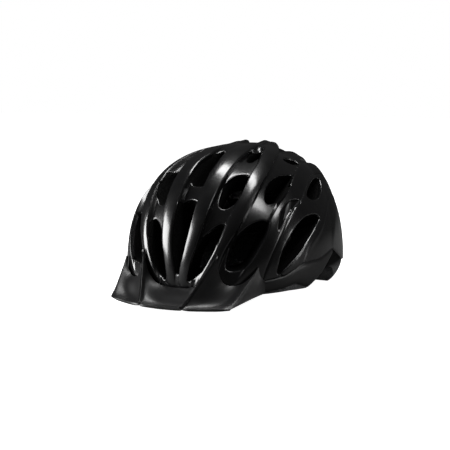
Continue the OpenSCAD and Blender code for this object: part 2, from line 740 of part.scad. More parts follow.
module pinion_shaft() {
    color("#44464a") radial(90, dial_z) {
        translate([0, 0, 69.2]) cylinder(r = 2.5, h = 15.6, $fn = 48);
        translate([0, 0, 71.05]) linear_extrude(2.65) {
            circle(r = 2.9, $fn = 48);
            for (i = [0:pinion_teeth - 1]) rotate([0, 0, 360 / pinion_teeth * (i + 0.5)])
                polygon([[-0.5, 2.5], [-0.42, pitch_r], [-0.22, pitch_r + gear_module],
                    [0.22, pitch_r + gear_module], [0.42, pitch_r], [0.5, 2.5]]);
        }
    }
}

module dial_knob() {
    color("#1f2023") radial(90, dial_z) translate([0, 0, housing_r[1] + 1.6]) difference() {
        union() {
            cylinder(r = dial_r - 2.05, h = 7, $fn = 64);
            translate([0, 0, 5.6]) cylinder(r = dial_r - 3, h = 2, $fn = 64);
        }
        translate([0, 0, -1]) cylinder(r = 2.5, h = 8.2, $fn = 48);
    }
}

module dial_grip() {
    color("#4b4d51") radial(90, dial_z) translate([0, 0, housing_r[1] + 1.8]) difference() {
        union() {
            cylinder(r = dial_r - 0.7, h = 5.4, $fn = 64);
            for (i = [0:19]) rotate([0, 0, 18 * i]) translate([dial_r - 0.8, 0, 0])
                cylinder(r = 0.8, h = 5.4, $fn = 16);
        }
        translate([0, 0, -1]) cylinder(r = dial_r - 2, h = 8, $fn = 64);
    }
}

module detent_washer() {
    color("#a9acb0") radial(90, dial_z) translate([0, 0, housing_r[1] + 0.3]) difference() {
        cylinder(r = 6, h = 0.8, $fn = 48);
        translate([0, 0, -1]) cylinder(r = 2.6, h = 3, $fn = 48);
    }
}

upper_shell();
lower_shell();
foam_liner();
emblem_plates();
visor();
visor_grommets();
brow_pad();
crown_pad();
side_pad_left();
side_pad_right();
rear_pad_left();
rear_pad_right();
hook_discs();
strap_anchors();
front_strap_left();
front_strap_right();
rear_strap_left();
rear_strap_right();
chin_strap_left();
chin_strap_right();
strap_keeper();
divider_left();
divider_right();
cam_lever_left();
cam_lever_right();
buckle_socket();
buckle_plug();
buckle_prong_front();
buckle_prong_rear();
temple_sockets();
height_rail();
cradle();
cradle_pads();
dial_housing();
housing_screws();
belt_left();
belt_right();
pinion_shaft();
dial_knob();
dial_grip();
detent_washer();
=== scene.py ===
"""A cycling helmet: ribbed gloss shell over bead foam, with a visor, straps and a rear cradle.

Sizes are in millimetres in the tables below and become metres when a mesh is made.
On the dome, v runs from the brow over the crown to the back and w from the centre plane to the ears.
"""

import math

import bmesh
import bpy
import numpy as np
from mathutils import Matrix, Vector


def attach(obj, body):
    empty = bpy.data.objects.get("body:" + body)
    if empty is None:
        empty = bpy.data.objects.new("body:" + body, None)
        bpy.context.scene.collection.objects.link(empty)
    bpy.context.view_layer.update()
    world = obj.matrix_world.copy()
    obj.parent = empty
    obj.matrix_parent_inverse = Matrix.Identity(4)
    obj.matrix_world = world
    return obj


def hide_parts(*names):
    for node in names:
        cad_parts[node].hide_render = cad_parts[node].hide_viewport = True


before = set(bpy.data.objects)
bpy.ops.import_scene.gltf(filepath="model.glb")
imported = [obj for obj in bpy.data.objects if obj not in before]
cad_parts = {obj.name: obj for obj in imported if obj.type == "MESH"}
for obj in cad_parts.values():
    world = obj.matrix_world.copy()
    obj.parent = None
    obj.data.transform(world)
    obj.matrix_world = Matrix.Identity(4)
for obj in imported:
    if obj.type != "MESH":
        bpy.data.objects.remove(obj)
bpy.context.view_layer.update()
MM = 0.001

# ---- dome -------------------------------------------------------------------------------------
# Its equator is the widest level. HEIGHT and SKIRT are its reach above and below that level.
HALF_WIDTH = 103.0
FRONT = 133.0
REAR = 145.0
HEIGHT = 122.0
EQUATOR = 25.0
SKIRT = 44.0
FULLNESS = 2.27
WALL = 1.2
LINER = 27.0

# Depths on the dome: the channels between ribs, and the height of the lip raised behind the crown
CHANNEL = 5.0
LIP_RISE = 6.4
LIP_START = 90.0
LIP_BLEND = 6.0
LIP_END = 110.8
LIP_LENGTH = 1.8

# Parts of the lip's height that each line of the relief takes
LIP_AT_CENTRE = 0.88
LIP_AT_EDGE = 0.95
LIP_AT_RIB2 = 0.35

# Lane lines on the left half: [v, w]
CENTRE_EDGE = [
    [-15, 0.4], [0, 0.8], [10, 1.9], [20, 3.6], [30, 4.2], [45, 4.6], [60, 3.5], [75, 3], [100, 3.5],
    [200, 4]]
RIB1_OUTER = [
    [-15, 4.6], [0, 5.4], [12, 7.3], [20, 9], [32, 10.9], [50, 12], [66, 12], [84, 9.8], [100, 6.2],
    [140, 6.5], [200, 8]]
RIB2_INNER = [
    [-15, 7], [0, 10.4], [11, 16.2], [19, 19.9], [29, 22.6], [40, 24.9], [53, 24.7], [67, 23],
    [84, 17], [101, 10.5], [111, 9.4], [122, 10.4], [140, 12], [200, 14]]
RIB2_OUTER = [
    [-15, 13], [0, 17.4], [14, 22.4], [24, 27.4], [39, 31.3], [52, 31.7], [68, 29.8], [84, 25],
    [98, 19.7], [105, 15.6], [111, 12.5], [114, 12.6], [121, 15.4], [140, 20], [200, 22]]
RIB3_INNER = [
    [-15, 26], [0, 29.6], [6, 33.5], [16.5, 39.6], [28, 42.9], [43, 45.2], [56, 46.5], [75, 43.1],
    [103.5, 34.3], [150, 28], [200, 25]]
CREASE = [
    [-15, 41], [4, 44.5], [15, 48.1], [25, 51], [38, 52.9], [51, 54], [63, 54.2], [78, 51.4],
    [95, 45.9], [140, 38], [200, 33]]
REAR_CREASE = [
    [-15, 66], [28, 71.2], [59, 73.3], [93, 68.5], [110, 61.9], [124, 54], [160, 46], [200, 42]]
LANE_STEP = 1.35

# Shares of the channel depth and of the lip's height along v, and the depth of the whole back
CHANNEL_SHARE = [
    [-15, 0], [0, 0.02], [5, 0.3], [14, 0.95], [22, 1], [92, 1], [105, 0.75], [119, 0.25], [180, 0.4],
    [200, 0.4]]
CENTRE_SHARE = [
    [-15, 0], [4, 0.25], [14, 1], [60, 1], [70, 0.75], [82, 0.1], [94, 0], [112, 0.5], [180, 0.5],
    [200, 0.5]]
LIP_SHARE = [
    [-15, 0], [90, 0], [96, 0.08], [103, 0.32], [106.5, 0.66], [109.5, 0.97], [110.8, 1], [200, 1]]
REAR_INSET = [
    [-15, 0], [108, 0], [112, 0], [118, -2.2], [124, -4.6], [135, -2.5], [150, 2], [160, 4],
    [175, 2.5], [200, 0]]

# Vent outlines on the left side: [v, w]
CENTRE_VENTS = [
    [[3, 0], [7, 1.1], [13, 2.3], [22, 3.5], [31, 3.9], [35.2, 2.6], [36.2, 0]],
    [[43.8, 0], [44.6, 2.4], [49, 3.8], [58, 3.9], [66, 3], [72, 1.7], [75, 0]]]
SIDE_VENTS = [
    [[0.7, 4.9], [7.9, 6], [12.9, 7.6], [19.5, 11.1], [24.4, 15.7], [26.4, 20], [21.8, 19.6], [13.6, 17],
     [7.4, 13.2], [3, 9]],
    [[33.8, 16], [37, 14.2], [46, 14], [52, 14.9], [56, 18], [57.6, 22.3], [51, 24.2], [43, 23.8],
     [37.4, 22.4], [34, 19.4]],
    [[69.8, 15.4], [74, 13.4], [82, 11.9], [88.6, 11.8], [92.6, 13.4], [87, 15.4], [80, 17], [72, 17.2]],
    [[6.6, 24.2], [12.3, 24.5], [18.9, 26.8], [24.6, 30.6], [30, 35.5], [33.8, 41], [33, 43.6],
     [26.6, 43.8], [19.8, 41.6], [12.6, 38.2], [7.6, 34.2], [5.8, 28.7]],
    [[45.8, 38.4], [53.6, 35.4], [62.4, 34.8], [69.6, 35.4], [76, 36.6], [83, 39.6], [71, 43.4],
     [59.8, 44.9], [50.8, 44.3], [46.2, 41.4]],
    [[96.6, 26.2], [99.6, 24], [104.6, 24.2], [109, 26.6], [107.6, 31], [101, 31.8], [97, 29]],
    [[4.5, 52], [13.2, 52.9], [22.1, 54.8], [33, 57.5], [45.4, 59.8], [60.4, 62.6], [76.7, 66.2],
     [75.5, 68.6], [62, 69.8], [49.1, 70], [36, 68.6], [24, 66], [14.7, 61.8], [7.4, 56.4]],
    [[75.1, 55.2], [80, 52.8], [90, 50], [102.2, 46.7], [113, 44.6], [112.5, 49], [105.9, 54.3],
     [94.7, 57.8], [82, 58.2]],
    [[115, 8.2], [116.8, 13.6], [124.4, 14.2], [128, 9.6], [121, 7.2]],
    [[117, 25.4], [121.4, 30.8], [132.6, 29.8], [137, 24.4], [126.8, 22.2]],
    [[159, 12.6], [161.4, 19.2], [167.8, 18.8], [170, 12.8]],
    [[136, 42], [142, 47.4], [152, 47], [156, 41.6], [150, 37.6], [141, 38]],
    [[162, 41], [165, 45.8], [172, 45.4], [175, 40.6], [170, 37.2], [164, 37.6]]]
EMBLEM = [
    [62.4, 55.2], [61.4, 52.4], [53, 48.6], [42, 47.6], [33, 48.4], [29.8, 49.6], [33, 50.8],
    [44, 52.4], [55, 54.6]]

# Side outlines: [y, z]
BAND_LINE = [
    [-180, 20], [-116, 20], [-108, 21.5], [-99, 26.2], [-88, 28.2], [-79, 29.5], [-68, 33.5],
    [-57, 37.2], [-40, 38.2], [-23, 38], [-6, 40.4], [12, 43]]
REAR_LINE = [[12, 43], [26, 37], [40, 31], [70, 22], [100, 17], [118, 18], [180, 19]]
BAND_RIM = [
    [-180, 16], [-112, 15], [-96, 14.2], [-80, 16.2], [-65, 19], [-52, 14.6], [-41, 11], [-20, 21.6],
    [13, 39.5]]
FOAM_RIM = [
    [-180, 16.5], [-112, 14], [-96, 12.5], [-70, 12.5], [-41, 10.5], [-16, 24.5], [0, 25.6], [14, 22],
    [28, 11], [44, 1], [50, 0], [92, 0], [104, 5], [120, 16], [180, 17]]

# Visor columns, a list for each facet: [across, up] on the top edge, [across, back] on the lip
VISOR_TOP = [
    [[0, 20], [12, 20.4], [22, 23.4], [30, 31], [35.5, 42.5], [39.2, 53]],
    [[39.2, 53], [41.4, 38], [45.6, 27], [53, 23.8], [61, 26], [67.6, 32.4], [72.4, 40]],
    [[72.4, 40], [73.4, 33], [75, 29], [77, 26]]]
VISOR_LIP = [
    [[0, 0], [8, 0.4], [15, 1], [21, 2], [21, 2], [21, 2]],
    [[21, 2], [24, 2.6], [30, 3.9], [39, 7.2], [48, 11], [56, 14.6], [64, 19]],
    [[64, 19], [67.5, 33], [72, 50], [77, 66]]]
VISOR_REACH = 33.0
VISOR_WALL = 2.2
VISOR_TOP_GAP = 0.3
VISOR_HOLLOW = [6.5, 6.0, 1.5]
VISOR_DIP = np.array([0, 1, -1.6])
RIDGE_PASSES = 14

# The lip rises towards the temples, once it is further back than its level part
VISOR_LIP_Z = 6.0
VISOR_LIP_GAP = 0.4
VISOR_LIP_LEVEL = 20
VISOR_LIP_SLOPE = 0.155

# Steps between two columns, and the parts of the way from the top edge down to the lip
VISOR_STEPS = 9
VISOR_DOWN = np.linspace(0, 1, 25)


def power(s, e):
    """A power that keeps the sign."""
    return np.sign(s) * np.abs(s) ** e


def unit(a):
    return a / np.maximum(np.linalg.norm(a, axis=-1, keepdims=True), 1e-12)


def bow(v, inset):
    """Distance from the ear-to-ear axis to the dome in the centre plane."""
    c, s = np.cos(v), np.sin(v)
    along = np.where(c > 0, FRONT, REAR) - inset
    up = np.where(s > 0, HEIGHT - inset, SKIRT)
    return ((np.abs(c) / along) ** FULLNESS + (np.abs(s) / up) ** FULLNESS) ** (-1 / FULLNESS)


def dome(v, w, inset=0.0):
    """Points on the dome for angles in degrees, moved inwards by inset."""
    v, w = np.radians(v), np.radians(w)
    t = bow(v, inset) * np.maximum(np.cos(w), 0) ** (2 / FULLNESS)
    x = (HALF_WIDTH - inset) * power(np.sin(w), 2 / FULLNESS)
    return np.stack([x, -t * np.cos(v), EQUATOR + t * np.sin(v)], -1)


def dome_y(x, z, out):
    """Where the front of the dome, moved outwards by out, is at a place across and up."""
    across = (np.abs(x) / (HALF_WIDTH + out)) ** FULLNESS
    up = (np.abs(z - EQUATOR) / (HEIGHT + out)) ** FULLNESS
    return -(FRONT + out) * np.maximum(1 - across - up, 0) ** (1 / FULLNESS)


def level_point(angle, z, inset):
    """A point on the dome at a height and a plan angle, in degrees from the front."""
    angle = np.radians(angle)
    up = np.where(z > EQUATOR, HEIGHT, SKIRT)
    s = (1 - (np.abs(z - EQUATOR) / up) ** FULLNESS) ** (1 / FULLNESS)
    e = 2 / FULLNESS
    ahead = (FRONT - inset) * np.maximum(np.cos(angle), 0) ** e
    behind = (REAR - inset) * np.maximum(-np.cos(angle), 0) ** e
    return np.stack([(HALF_WIDTH - inset) * s * power(np.sin(angle), e), s * (behind - ahead), z + 0 * s], -1)


def smooth_line(points, at):
    """A smooth curve through [place, value] points, read at the places given."""
    x, y = np.array(points, float).T
    slope = np.gradient(y, x)
    at = np.clip(at, x[0], x[-1])
    k = np.clip(np.searchsorted(x, at) - 1, 0, len(x) - 2)
    h = x[k + 1] - x[k]
    t = (at - x[k]) / h
    a = (1 + 2 * t) * (1 - t) ** 2 * y[k] + t * (1 - t) ** 2 * h * slope[k]
    return a + t * t * (3 - 2 * t) * y[k + 1] - t * t * (1 - t) * h * slope[k + 1]


def straight_line(points, at):
    """A line of straight stretches through [place, value] points."""
    x, y = np.array(points, float).T
    return np.interp(at, x, y)


def ease(t):
    """A smooth step from 0 to 1."""
    t = np.clip(t, 0, 1)
    return t * t * (3 - 2 * t)


def closed_curve(points, steps=14):
    """A smooth closed curve through the points."""
    p = np.array(points, float)
    before, after, later = np.roll(p, 1, 0), np.roll(p, -1, 0), np.roll(p, -2, 0)
    t = (np.arange(steps) / steps)[:, None, None]
    curve = 0.5 * (2 * p + (after - before) * t + (2 * before - 5 * p + 4 * after - later) * t ** 2
                   + (3 * p - before - 3 * after + later) * t ** 3)
    return curve.transpose(1, 0, 2).reshape(-1, 2)


def open_curve(points, steps):
    """A smooth curve through the points, with free ends."""
    p = np.array(points, float)
    p = np.vstack([2 * p[0] - p[1], p, 2 * p[-1] - p[-2]])
    out = []
    for k in range(1, len(p) - 2):
        a, b, c, d = p[k - 1:k + 3]
        t = (np.arange(steps) / steps)[:, None]
        out.append(0.5 * (2 * b + (c - a) * t + (2 * a - 5 * b + 4 * c - d) * t ** 2
                          + (3 * b - a - 3 * c + d) * t ** 3))
    return np.vstack(out + [p[-2:-1]])


# ---- meshes -----------------------------------------------------------------------------------
def make_object(name, points, faces, material, angle=35):
    mesh = bpy.data.meshes.new(name)
    mesh.from_pydata([tuple(p) for p in np.array(points, float) * MM], [], faces)
    mesh.update()
    obj = bpy.data.objects.new(name, mesh)
    bpy.context.scene.collection.objects.link(obj)
    mesh.materials.append(material)
    smooth(obj, angle)
    return obj


def smooth(obj, angle=35):
    """Smooth shading, with sharp edges where faces meet at more than an angle in degrees."""
    for p in obj.data.polygons:
        p.use_smooth = True
    obj.data.set_sharp_from_angle(angle=math.radians(angle))


def install(obj, body, slot, *nodes):
    """Puts a piece on its body, in the place of its CAD nodes."""
    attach(obj, body)
    if nodes:
        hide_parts(*nodes)
    return obj


def loft(stations):
    """Points and faces of a skin over closed sections, with end caps."""
    stations = np.array(stations, float)
    s, m = stations.shape[:2]
    faces = []
    for a in range(0, (s - 1) * m, m):
        b = a + m
        faces += [(a + k, a + (k + 1) % m, b + (k + 1) % m, b + k) for k in range(m)]
    faces += [tuple(range(m - 1, -1, -1)), tuple((s - 1) * m + k for k in range(m))]
    return stations.reshape(-1, 3), faces


def thick_sheet(sheet, thickness, bulge=0.35):
    """A plate behind a sheet of points, as sections across it with rounded edges."""
    along, down = np.gradient(sheet, axis=0), np.gradient(sheet, axis=1)
    back = sheet - unit(np.cross(down, along)) * thickness
    middle = (sheet + back) / 2
    edge = unit(down) * thickness * bulge
    low_edge, high_edge = middle[:, -1:] + edge[:, -1:], middle[:, :1] - edge[:, :1]
    return np.concatenate([sheet, low_edge, back[:, ::-1], high_edge], axis=1)


# ---- shell grid -------------------------------------------------------------------------------
EAR = 90.0
CENTRE_STEP = 0.9
CREASE_DEPTH = 0.7
REAR_CREASE_RISE = 0.25

# Profiles across a lane, and how deep each bulges in its middle, in millimetres
FLAT, STEP, RIB, TROUGH, SWELL = range(5)
BULGE = {FLAT: 0, STEP: 0, RIB: -0.6, TROUGH: 0.7, SWELL: -0.3}

# The depth of relief over which the way inwards is measured
RELIEF_SPAN = 10

# Beyond this many degrees from an outline its distance is taken as FAR, in millimetres
NEAR_ANGLE = 9
FAR = 18.0

# The shortest part of a grid edge that a cut leaves
NO_SLIVER = 0.04


def lane_grid(v, density):
    """Angles w and depths of the relief for each row v, over the left half."""
    centre = smooth_line(CENTRE_EDGE, v)
    rib1 = smooth_line(RIB1_OUTER, v)
    rib2_in = smooth_line(RIB2_INNER, v)
    rib2_out = smooth_line(RIB2_OUTER, v)
    rib3 = smooth_line(RIB3_INNER, v)
    crease = smooth_line(CREASE, v)
    rear = smooth_line(REAR_CREASE, v)
    drop = 1 - ease((v - LIP_END) / LIP_LENGTH)
    back = smooth_line(REAR_INSET, v)
    lip = LIP_RISE * smooth_line(LIP_SHARE, v) * drop
    fill = ease((v - LIP_START) / LIP_BLEND) * drop
    floor = back + CHANNEL * smooth_line(CHANNEL_SHARE, v)
    first = floor + (back - floor) * fill - LIP_AT_EDGE * lip
    middle = back + CHANNEL * smooth_line(CENTRE_SHARE, v) - LIP_AT_CENTRE * lip
    edge = back - LIP_AT_EDGE * lip
    step = np.minimum(LANE_STEP, 0.45 * (rib2_in - rib1))
    narrow = np.minimum(CENTRE_STEP, 0.5 * centre)
    zero = 0 * v
    # Each lane: the angle and depth at its outer line, its number of columns and the profile across it
    lanes = [
        (centre - narrow, middle, 3, FLAT),
        (centre, edge, 4, STEP),
        (rib1, back - lip, 7, RIB),
        (rib1 + step, first, 4, STEP),
        (rib2_in - step, first, 8, TROUGH),
        (rib2_in, edge, 4, STEP),
        (rib2_out, back - LIP_AT_RIB2 * lip, 8, RIB),
        (rib2_out + step, floor, 4, STEP),
        (rib3 - step, floor, 10, TROUGH),
        (rib3, 0.9 * back, 4, STEP),
        (crease - 0.5, 0.7 * back, 9, SWELL),
        (crease, 0.7 * back + CREASE_DEPTH, 3, STEP),
        (crease + 0.5, 0.68 * back + 0.2, 3, STEP),
        (rear - 2, 0.25 * back, 16, SWELL),
        (rear, 0.2 * back - REAR_CREASE_RISE, 4, STEP),
        (rear + 2, 0.18 * back, 4, STEP),
        (zero + EAR, zero, 14, FLAT)]
    w0, d0 = zero, middle
    ws, ds = [w0], [d0]
    for w1, d1, columns, profile in lanes:
        n = max(2 if profile == STEP else 1, int(round(columns * density)))
        for k in range(1, n + 1):
            t = k / n
            ws.append(w0 + (w1 - w0) * t)
            ds.append(d0 + (d1 - d0) * (ease(t) if profile == STEP else t) + BULGE[profile] * 4 * t * (1 - t))
        w0, d0 = w1, d1
    return np.stack(ws, 1), np.stack(ds, 1)


def whole_grid(rows, density=1.0):
    """Angles v and w and depths of the relief, over both halves."""
    w, depth = lane_grid(rows, density)
    w = np.hstack([-w[:, :0:-1], w])
    depth = np.hstack([depth[:, :0:-1], depth])
    v = np.repeat(rows[:, None], w.shape[1], 1)
    return v, w, depth


def whole_outlines():
    """Every vent outline as a smooth closed curve, both sides."""
    curves = [closed_curve(points + [[p[0], -p[1]] for p in points[-2:0:-1]]) for points in CENTRE_VENTS]
    for points in SIDE_VENTS:
        curve = closed_curve(points)
        curves += [curve, curve * [1, -1]]
    return curves


def inside(curve, v, w):
    """Which points are inside a closed curve."""
    result = np.zeros(v.shape, bool)
    for (v0, w0), (v1, w1) in zip(curve, np.roll(curve, -1, 0)):
        crosses = (w0 > w) != (w1 > w)
        if w1 != w0:
            result ^= crosses & (v < (v1 - v0) * (w - w0) / (w1 - w0) + v0)
    return result


def outline_distance(curve, v, w, points):
    """Distance in millimetres from dome points to a curve on the dome, negative inside it."""
    result = np.full(v.shape, FAR)
    low, high = curve.min(0) - NEAR_ANGLE, curve.max(0) + NEAR_ANGLE
    near = (v > low[0]) & (v < high[0]) & (w > low[1]) & (w < high[1])
    if not near.any():
        return result
    ring = dome(curve[:, 0], curve[:, 1])
    p = points[near]
    a, b = ring, np.roll(ring, -1, 0)
    ab = b - a
    best = np.full(len(p), np.inf)
    for k in range(len(ring)):
        t = np.clip((p - a[k]) @ ab[k] / max(ab[k] @ ab[k], 1e-9), 0, 1)
        best = np.minimum(best, np.linalg.norm(p - a[k] - t[:, None] * ab[k], axis=1))
    result[near] = np.where(inside(curve, v[near], w[near]), -best, best)
    return result


def clip_grid(points, field):
    """The part of a grid where the field is positive, as points and faces."""
    out, node_at, cut_at, faces = [], {}, {}, []

    def node(i, j):
        if (i, j) not in node_at:
            node_at[i, j] = len(out)
            out.append(points[i, j])
        return node_at[i, j]

    def cut(p, q):
        key = (p, q) if p < q else (q, p)
        if key not in cut_at:
            a, b = key
            t = np.clip(field[a] / (field[a] - field[b]), NO_SLIVER, 1 - NO_SLIVER)
            cut_at[key] = len(out)
            out.append(points[a] + (points[b] - points[a]) * t)
        return cut_at[key]

    keep = field > 0
    some = keep[:-1, :-1] | keep[1:, :-1] | keep[:-1, 1:] | keep[1:, 1:]
    for i, j in zip(*np.nonzero(some)):
        corners = [(i, j), (i, j + 1), (i + 1, j + 1), (i + 1, j)]
        face = []
        for p, q in zip(corners, corners[1:] + corners[:1]):
            if keep[p]:
                face.append(node(*p))
            if keep[p] != keep[q]:
                face.append(cut(p, q))
        if len(face) > 2:
            faces.append(tuple(face))
    return np.array(out), faces


def vertex_normals(points, faces):
    """Normals at the points, weighted by the area of the faces round them."""
    n = np.zeros_like(points)
    for f in faces:
        q = points[list(f)]
        c = np.cross(q, np.roll(q, -1, 0)).sum(0)
        for k in f:
            n[k] += c
    return n / np.maximum(np.linalg.norm(n, axis=1, keepdims=True), 1e-12)


def border_loops(faces):
    """Loops of border points, in the order in which the faces pass them."""
    edges = {}
    for f in faces:
        for a, b in zip(f, f[1:] + f[:1]):
            edges[a, b] = edges.get((a, b), 0) + 1
    follow = {a: b for (a, b) in edges if (b, a) not in edges}
    loops = []
    while follow:
        start, k = next(iter(follow.items()))
        loop = [start]
        del follow[start]
        while k != start and k in follow:
            loop.append(k)
            k = follow.pop(k)
        loops.append(loop)
    return loops


def relax(values, times):
    """Values along a loop, each drawn towards its neighbours."""
    for _ in range(times):
        values = 0.5 * values + 0.25 * (np.roll(values, 1, 0) + np.roll(values, -1, 0))
    return values


def moulded_shell(points, faces, thickness, roll, wall, rings=4):
    """Adds rounded rims, short inward walls and an inner skin to an open surface."""
    normal = vertex_normals(points, faces)
    count = len(points)
    all_points = [points, points - normal * thickness]
    all_faces = list(faces) + [tuple(k + count for k in reversed(f)) for f in faces]
    used = 2 * count
    for loop in border_loops(faces):
        p = points[loop]
        n = unit(relax(normal[loop], 3))
        along = unit(relax(np.roll(p, -1, 0) - np.roll(p, 1, 0), 3))
        away = unit(np.cross(along, n))
        layers = [p + away * roll * math.sin(a) - n * roll * (1 - math.cos(a))
                  for a in np.linspace(0, math.pi / 2, rings + 1)[1:]]
        layers.append(layers[-1] - n * wall)
        layers.append(layers[-1] - away * min(roll, thickness))
        m = len(loop)
        ids = [list(loop)] + [list(range(used + k * m, used + (k + 1) * m)) for k in range(len(layers))]
        ids.append([k + count for k in loop])
        used += m * len(layers)
        all_points += layers
        for upper, lower in zip(ids, ids[1:]):
            all_faces += [(upper[(k + 1) % m], upper[k], lower[k], lower[(k + 1) % m]) for k in range(m)]
    return np.vstack(all_points), all_faces


# ---- materials --------------------------------------------------------------------------------
# The sockets of a colour mix node
MIX_FACTOR, MIX_DARK, MIX_LIGHT, MIX_RESULT = 0, 6, 7, 2


def new_material(name):
    material = bpy.data.materials.new(name)
    material.use_nodes = True
    tree = material.node_tree
    return material, tree, tree.nodes["Principled BSDF"]


def link(tree, a, b):
    tree.links.new(a, b)


def place(tree):
    """The output that gives the place on the object."""
    return tree.nodes.new("ShaderNodeTexCoord").outputs["Object"]


def noise(tree, scale, detail=3.0):
    node = tree.nodes.new("ShaderNodeTexNoise")
    node.inputs["Scale"].default_value = scale
    node.inputs["Detail"].default_value = detail
    node.inputs["Roughness"].default_value = 0.55
    link(tree, place(tree), node.inputs["Vector"])
    return node.outputs["Fac"]


def cells(tree, scale, feature="F1"):
    node = tree.nodes.new("ShaderNodeTexVoronoi")
    node.feature = feature
    node.inputs["Scale"].default_value = scale
    link(tree, place(tree), node.inputs["Vector"])
    return node.outputs["Distance"]


def ramp(tree, source, low, high, start=0.3, end=0.7):
    """Goes from low to high while the source goes from start to end."""
    node = tree.nodes.new("ShaderNodeMapRange")
    node.inputs["From Min"].default_value = start
    node.inputs["From Max"].default_value = end
    node.inputs["To Min"].default_value = low
    node.inputs["To Max"].default_value = high
    link(tree, source, node.inputs["Value"])
    return node.outputs["Result"]


def mix_colour(tree, factor, dark, light):
    """A blend of two colours, each a plain colour or another node's output."""
    node = tree.nodes.new("ShaderNodeMix")
    node.data_type = "RGBA"
    for socket, value in ((MIX_DARK, dark), (MIX_LIGHT, light)):
        if isinstance(value, tuple):
            node.inputs[socket].default_value = (*value, 1)
        else:
            link(tree, value, node.inputs[socket])
    link(tree, factor, node.inputs[MIX_FACTOR])
    return node.outputs[MIX_RESULT]


def base_colour(tree, shader, factor, dark, light):
    """Colours a material by a blend of two colours."""
    link(tree, mix_colour(tree, factor, dark, light), shader.inputs["Base Color"])


def bump(tree, shader, height, strength, distance):
    """Raises the surface by a height from 0 to 1, times a distance in metres."""
    node = tree.nodes.new("ShaderNodeBump")
    node.inputs["Strength"].default_value = strength
    node.inputs["Distance"].default_value = distance
    link(tree, height, node.inputs["Height"])
    link(tree, node.outputs["Normal"], shader.inputs["Normal"])


def plastic(name, dark, light, rough, grain, grain_depth, coat=0.0, coat_rough=0.1):
    """Moulded plastic: mottled colour, uneven gloss and a fine grain."""
    material, tree, shader = new_material(name)
    base_colour(tree, shader, noise(tree, 38), dark, light)
    link(tree, ramp(tree, noise(tree, 60), *rough), shader.inputs["Roughness"])
    shader.inputs["Coat Weight"].default_value = coat
    shader.inputs["Coat Roughness"].default_value = coat_rough
    bump(tree, shader, noise(tree, grain, 4), strength=0.35, distance=grain_depth)
    return material


# Heights in metres between which the foam goes from painted light on its low edge to painted shade higher up
# and in the vents
LIT_BELOW, SHADED_ABOVE = 0.018, 0.026


def bead_foam():
    """Expanded bead foam: packed rounded cells with dark joints; its lower edge is painted light, and above
    it the colour is darkened further as painted shade in the vents.
    """
    material, tree, shader = new_material("bead_foam")
    height = ramp(tree, cells(tree, 330, "DISTANCE_TO_EDGE"), low=0, high=1, start=0.0, end=0.16)
    # Painted shade: the colour inside the vents is darker than the foam itself, standing for the shade there
    inner = mix_colour(tree, height, (0.0015, 0.0015, 0.0015), (0.006, 0.006, 0.006))
    # Painted light: the low edge is much paler, standing for the light it catches from the side and back
    painted_light_colour = mix_colour(tree, height, (0.09, 0.09, 0.092), (0.2, 0.2, 0.205))
    level = tree.nodes.new("ShaderNodeSeparateXYZ")
    link(tree, place(tree), level.inputs[0])
    # Share of painted light by height: full low down, none higher up, where the painted shade takes over
    painted_light_mask = ramp(tree, level.outputs["Z"], low=1, high=0, start=LIT_BELOW, end=SHADED_ABOVE)
    base_colour(tree, shader, painted_light_mask, inner, painted_light_colour)
    shader.inputs["Roughness"].default_value = 0.82
    shader.inputs["Specular IOR Level"].default_value = 0.06
    bump(tree, shader, height, strength=0.5, distance=0.0004)
    return material


def weave(name, dark, light, scale, sheen=0.3):
    """Woven fabric: two crossed sets of threads with fuzz."""
    material, tree, shader = new_material(name)
    threads = []
    for turn in ((0.0, 0.0, math.pi / 4), (0.0, math.pi / 2, math.pi / 4)):
        mapping = tree.nodes.new("ShaderNodeMapping")
        mapping.inputs["Rotation"].default_value = turn
        link(tree, place(tree), mapping.inputs["Vector"])
        wave = tree.nodes.new("ShaderNodeTexWave")
        wave.inputs["Scale"].default_value = scale
        wave.inputs["Distortion"].default_value = 0.6
        link(tree, mapping.outputs["Vector"], wave.inputs["Vector"])
        threads.append(wave.outputs["Fac"])
    both = tree.nodes.new("ShaderNodeMath")
    both.operation = "MULTIPLY"
    for socket, thread in zip(both.inputs, threads):
        link(tree, thread, socket)
    base_colour(tree, shader, both.outputs[0], dark, light)
    shader.inputs["Roughness"].default_value = 0.85
    shader.inputs["Sheen Weight"].default_value = sheen
    bump(tree, shader, both.outputs[0], strength=0.6, distance=0.0002)
    return material


def metal():
    """Plated steel with cloudy gloss."""
    material, tree, shader = new_material("zinc_steel")
    cloud = noise(tree, 300)
    base_colour(tree, shader, cloud, (0.32, 0.32, 0.33), (0.5, 0.5, 0.52))
    shader.inputs["Metallic"].default_value = 1
    link(tree, ramp(tree, cloud, low=0.25, high=0.45), shader.inputs["Roughness"])
    bump(tree, shader, noise(tree, 1200), strength=0.2, distance=0.00003)
    return material


def rubber(name):
    """Matt rubber with a pebbled face."""
    material, tree, shader = new_material(name)
    pebbles = noise(tree, 700, 5)
    base_colour(tree, shader, pebbles, (0.014, 0.014, 0.015), (0.03, 0.03, 0.032))
    shader.inputs["Roughness"].default_value = 0.72
    bump(tree, shader, pebbles, strength=0.5, distance=0.00012)
    return material


def hook_tape():
    """Hook tape: a field of small round hooks."""
    material, tree, shader = new_material("hook_tape")
    height = ramp(tree, cells(tree, 900), low=1, high=0, start=0.1, end=0.5)
    base_colour(tree, shader, height, (0.004, 0.004, 0.005), (0.02, 0.02, 0.022))
    shader.inputs["Roughness"].default_value = 0.6
    bump(tree, shader, height, strength=0.8, distance=0.0003)
    return material


